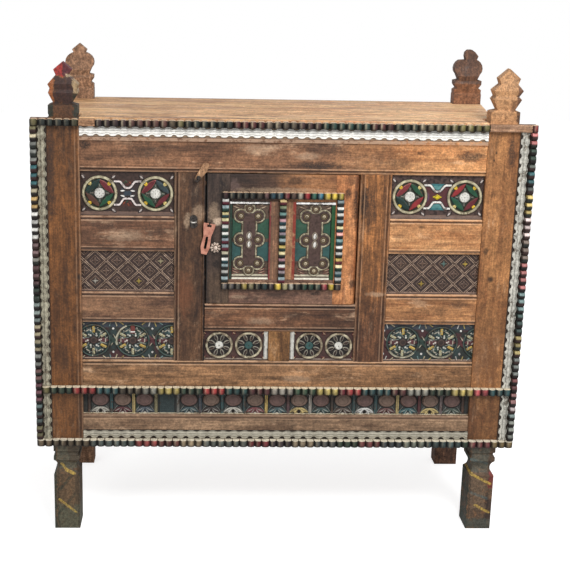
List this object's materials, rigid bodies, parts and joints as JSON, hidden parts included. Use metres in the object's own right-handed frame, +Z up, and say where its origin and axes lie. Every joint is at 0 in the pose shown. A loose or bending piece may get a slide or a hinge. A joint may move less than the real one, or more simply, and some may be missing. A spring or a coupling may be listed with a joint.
{
  "type": "dowry cabinet",
  "caption": "Carved and painted wooden dowry chest on tall posts, with a pivot-hung front door, iron hasp and turn button.",
  "frame": {"origin": "middle of the outline, on the floor under the legs", "axes": "+Z up, front towards -Y, +X to the right as seen from the front"},
  "size_m": [1.27, 0.498, 1.268],
  "materials": {
    "brown_wood": "old waxed, worn",
    "honey_wood": "old waxed, worn",
    "pale_planks": "dry, unfinished",
    "carved_painted_panel": "worn distemper paint over carving",
    "painted_strip": "worn paint in bands of colour",
    "chalk_white_moulding": "chalky worn paint",
    "copper_metal": "tarnished",
    "wrought_iron": "blackened"
  },
  "bodies": {
    "cabinet": {"post_front_left": "brown_wood", "post_front_right": "honey_wood", "post_back_left": "brown_wood", "post_back_right": "honey_wood", "top_rail": "brown_wood", "bottom_rail": "honey_wood", "base_rail": "brown_wood", "door_sill_rail": "brown_wood", "inner_stile_left": "brown_wood", "inner_stile_right": "honey_wood", "lower_muntin": "honey_wood", "upper_rail_left": "brown_wood", "upper_rail_right": "honey_wood", "lower_rail_left": "brown_wood", "lower_rail_right": "honey_wood", "wheel_panel_left": "carved_painted_panel", "wheel_panel_right": "carved_painted_panel", "lattice_panel_left": "carved_painted_panel", "lattice_panel_right": "carved_painted_panel", "rosette_panel_left": "carved_painted_panel", "rosette_panel_right": "carved_painted_panel", "disc_panel_left": "carved_painted_panel", "disc_panel_right": "carved_painted_panel", "frieze_panel": "carved_painted_panel", "wing_board_left": "brown_wood", "wing_board_right": "brown_wood", "scallop_strip_left": "chalk_white_moulding", "scallop_strip_right": "chalk_white_moulding", "top_scallop_moulding": "chalk_white_moulding", "apron_scallop_moulding": "chalk_white_moulding", "lobed_strip_top": "painted_strip", "lobed_strip_middle": "painted_strip", "lobed_strip_bottom": "painted_strip", "lobed_strip_left": "painted_strip", "lobed_strip_right": "painted_strip", "door_stop": "brown_wood", "lock_staple": "wrought_iron", "staple_plate": "wrought_iron", "turn_button_nail": "wrought_iron", "side_rails_left": "brown_wood", "side_rails_right": "brown_wood", "side_planks_left": "brown_wood", "side_planks_right": "brown_wood", "back_rails": "brown_wood", "back_planks": "brown_wood", "top_planks": "pale_planks", "floor_planks": "brown_wood"},
    "door": {"door_hinge_stile": "honey_wood", "door_lock_stile": "brown_wood", "door_top_rail": "brown_wood", "door_bottom_rail": "brown_wood", "door_muntin": "brown_wood", "door_panel_left": "carved_painted_panel", "door_panel_right": "carved_painted_panel", "door_lobed_frame": "painted_strip", "door_lobed_centre": "painted_strip", "rosette_boss": "copper_metal"},
    "hasp_pin": {"hasp_eye_pin": "wrought_iron"},
    "hasp": {"hasp": "copper_metal"},
    "turn_button": {"turn_button": "honey_wood"}
  },
  "joints": [
    {"name": "door_swing", "type": "hinge", "parent": "cabinet", "child": "door", "pos_m": [0.17925, -0.21325, 0.807], "axis": [0, 0, 1], "range_deg": [0, 95]},
    {"name": "hasp_swivel", "type": "hinge", "parent": "door", "child": "hasp_pin", "pos_m": [-0.186, -0.2345, 0.848], "axis": [0, 1, 0], "range_deg": [0, 60]},
    {"name": "hasp_lift", "type": "hinge", "parent": "hasp_pin", "child": "hasp", "pos_m": [-0.186, -0.2345, 0.848], "axis": [-0.9836, 0, 0.1805], "range_deg": [0, 165]},
    {"name": "button_turn", "type": "hinge", "parent": "cabinet", "child": "turn_button", "pos_m": [-0.216, -0.2345, 0.968], "axis": [0, 1, 0], "range_deg": [-120, 75]}
  ]
}
